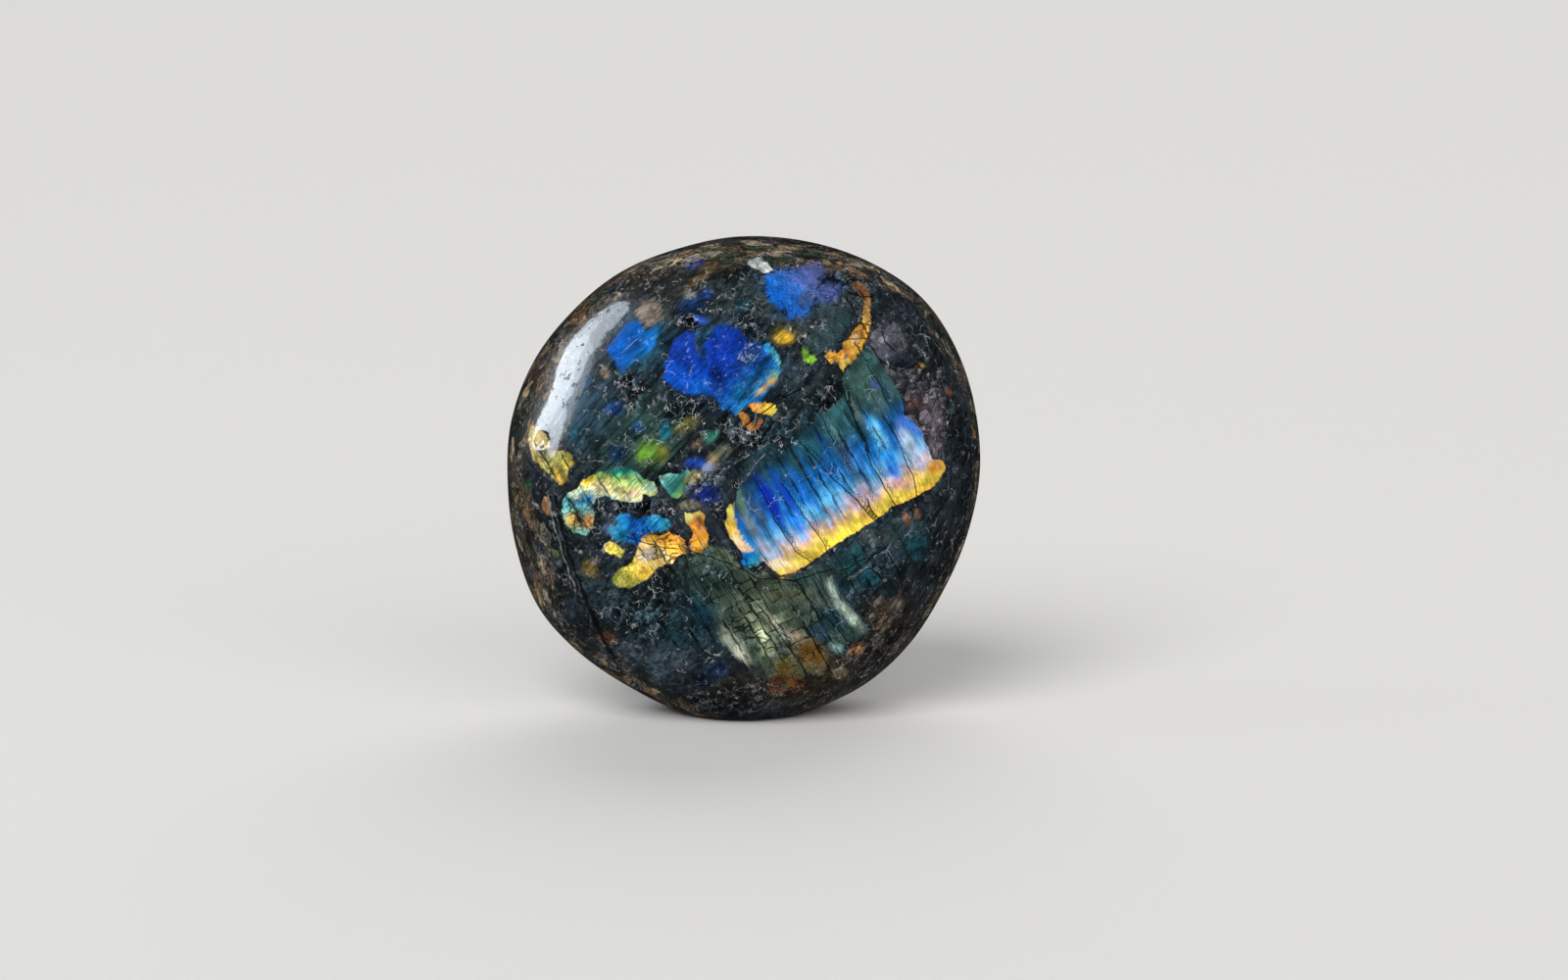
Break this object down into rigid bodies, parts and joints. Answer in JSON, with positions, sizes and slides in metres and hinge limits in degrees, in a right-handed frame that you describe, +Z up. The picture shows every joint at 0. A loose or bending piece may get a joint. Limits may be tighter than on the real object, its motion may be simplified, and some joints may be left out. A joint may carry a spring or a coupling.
{
  "type": "polished labradorite freeform",
  "caption": "Thick, nearly round polished labradorite stone that stands on its edge on a small cut flat, with domed faces, soft shoulder bevels and natural pits.",
  "frame": {"origin": "middle of the small flat base that the stone is cut to stand on", "axes": "+Z up, -Y towards the front that shows the colour flashes, +X to the right as seen from the front; the stone's thickness lies along Y"},
  "size_m": [0.0964, 0.0502, 0.0966],
  "materials": {
    "polished_labradorite": "polished"
  },
  "bodies": {
    "root": {"stone": "polished_labradorite"}
  },
  "joints": []
}
